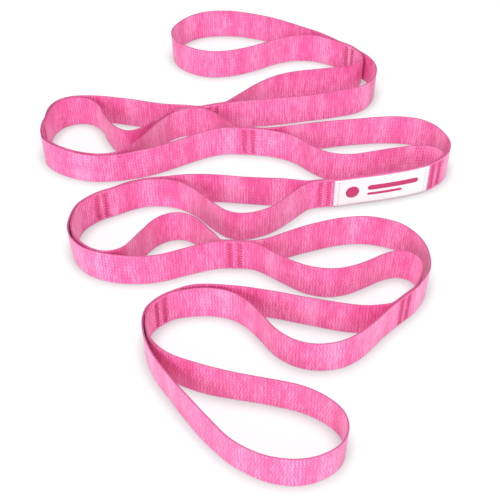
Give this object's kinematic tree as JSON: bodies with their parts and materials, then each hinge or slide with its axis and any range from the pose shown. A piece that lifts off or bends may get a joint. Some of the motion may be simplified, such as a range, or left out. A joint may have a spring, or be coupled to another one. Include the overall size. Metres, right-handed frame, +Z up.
{
  "type": "stretching strap",
  "caption": "Flat non-elastic stretching strap of doubled pink webbing, bar-tacked into a chain of hand and foot loops, standing on its edge in a serpentine.",
  "frame": {"origin": "on the floor under the middle of the laid-out strap's box", "axes": "+Z up across the webbing's width, +Y from the near end loop to the far end loop, +X to the right along the runs"},
  "size_m": [0.3025, 0.4587, 0.025],
  "materials": {
    "webbing": "pink nylon webbing, fine herringbone weave with a satin sheen",
    "thread": "pink polyester thread, dense zigzag",
    "label": "white woven satin label"
  },
  "bodies": {
    "label_section": {"label_section_label_layer": "webbing", "label_section_back_layer": "webbing", "woven_label": "label", "label_stitch_row_1": "thread", "label_stitch_row_2": "thread", "seam_5_bar_tack_1": "thread", "seam_5_bar_tack_2": "thread", "seam_6_bar_tack_1": "thread", "seam_6_bar_tack_2": "thread"},
    "loop_5": {"loop_5_long_side": "webbing", "loop_5_short_side": "webbing", "seam_4_bar_tack_1": "thread", "seam_4_bar_tack_2": "thread"},
    "loop_4": {"loop_4_long_side": "webbing", "loop_4_short_side": "webbing", "seam_3_bar_tack_1": "thread", "seam_3_bar_tack_2": "thread"},
    "loop_3": {"loop_3_long_side": "webbing", "loop_3_short_side": "webbing", "seam_2_bar_tack_1": "thread", "seam_2_bar_tack_2": "thread"},
    "loop_2": {"loop_2_long_side": "webbing", "loop_2_short_side": "webbing", "seam_1_bar_tack_1": "thread", "seam_1_bar_tack_2": "thread"},
    "loop_6": {"loop_6_long_side": "webbing", "loop_6_short_side": "webbing", "seam_7_bar_tack_1": "thread", "seam_7_bar_tack_2": "thread"},
    "loop_7": {"loop_7_long_side": "webbing", "loop_7_short_side": "webbing", "seam_8_bar_tack_1": "thread", "seam_8_bar_tack_2": "thread"},
    "loop_8": {"loop_8_long_side": "webbing", "loop_8_short_side": "webbing", "seam_9_bar_tack_1": "thread", "seam_9_bar_tack_2": "thread"},
    "loop_9": {"loop_9_long_side": "webbing", "loop_9_short_side": "webbing", "seam_10_bar_tack_1": "thread", "seam_10_bar_tack_2": "thread"},
    "loop_1": {"loop_1_webbing": "webbing"},
    "loop_10": {"loop_10_webbing": "webbing"}
  },
  "joints": [
    {"name": "seam_5_flex", "type": "hinge", "parent": "label_section", "child": "loop_5", "pos_m": [0.14317, 0.02457, 0.0125], "axis": [0, 0, 1], "range_deg": [-20, 0]},
    {"name": "seam_4_flex", "type": "hinge", "parent": "loop_5", "child": "loop_4", "pos_m": [-0.00307, 0.05912, 0.0125], "axis": [0, 0, 1], "range_deg": [-8, 8]},
    {"name": "seam_3_flex", "type": "hinge", "parent": "loop_4", "child": "loop_3", "pos_m": [-0.14937, 0.06709, 0.0125], "axis": [0, 0, 1], "range_deg": [0, 20]},
    {"name": "seam_2_flex", "type": "hinge", "parent": "loop_3", "child": "loop_2", "pos_m": [-0.01718, 0.08996, 0.0125], "axis": [0, 0, 1], "range_deg": [-6, 20]},
    {"name": "seam_1_flex", "type": "hinge", "parent": "loop_2", "child": "loop_1", "pos_m": [0.08298, 0.17602, 0.0125], "axis": [0, 0, 1], "range_deg": [-25, 8]},
    {"name": "seam_6_flex", "type": "hinge", "parent": "label_section", "child": "loop_6", "pos_m": [0.04995, -0.00287, 0.0125], "axis": [0, 0, 1], "range_deg": [-3, 12]},
    {"name": "seam_7_flex", "type": "hinge", "parent": "loop_6", "child": "loop_7", "pos_m": [-0.10402, -0.01926, 0.0125], "axis": [0, 0, 1], "range_deg": [-20, 0]},
    {"name": "seam_8_flex", "type": "hinge", "parent": "loop_7", "child": "loop_8", "pos_m": [0.0021, -0.06375, 0.0125], "axis": [0, 0, 1], "range_deg": [-12, 8]},
    {"name": "seam_9_flex", "type": "hinge", "parent": "loop_8", "child": "loop_9", "pos_m": [0.09472, -0.11625, 0.0125], "axis": [0, 0, 1], "range_deg": [-3, 20]},
    {"name": "seam_10_flex", "type": "hinge", "parent": "loop_9", "child": "loop_10", "pos_m": [-0.05528, -0.11925, 0.0125], "axis": [0, 0, 1], "range_deg": [-20, 3]}
  ]
}
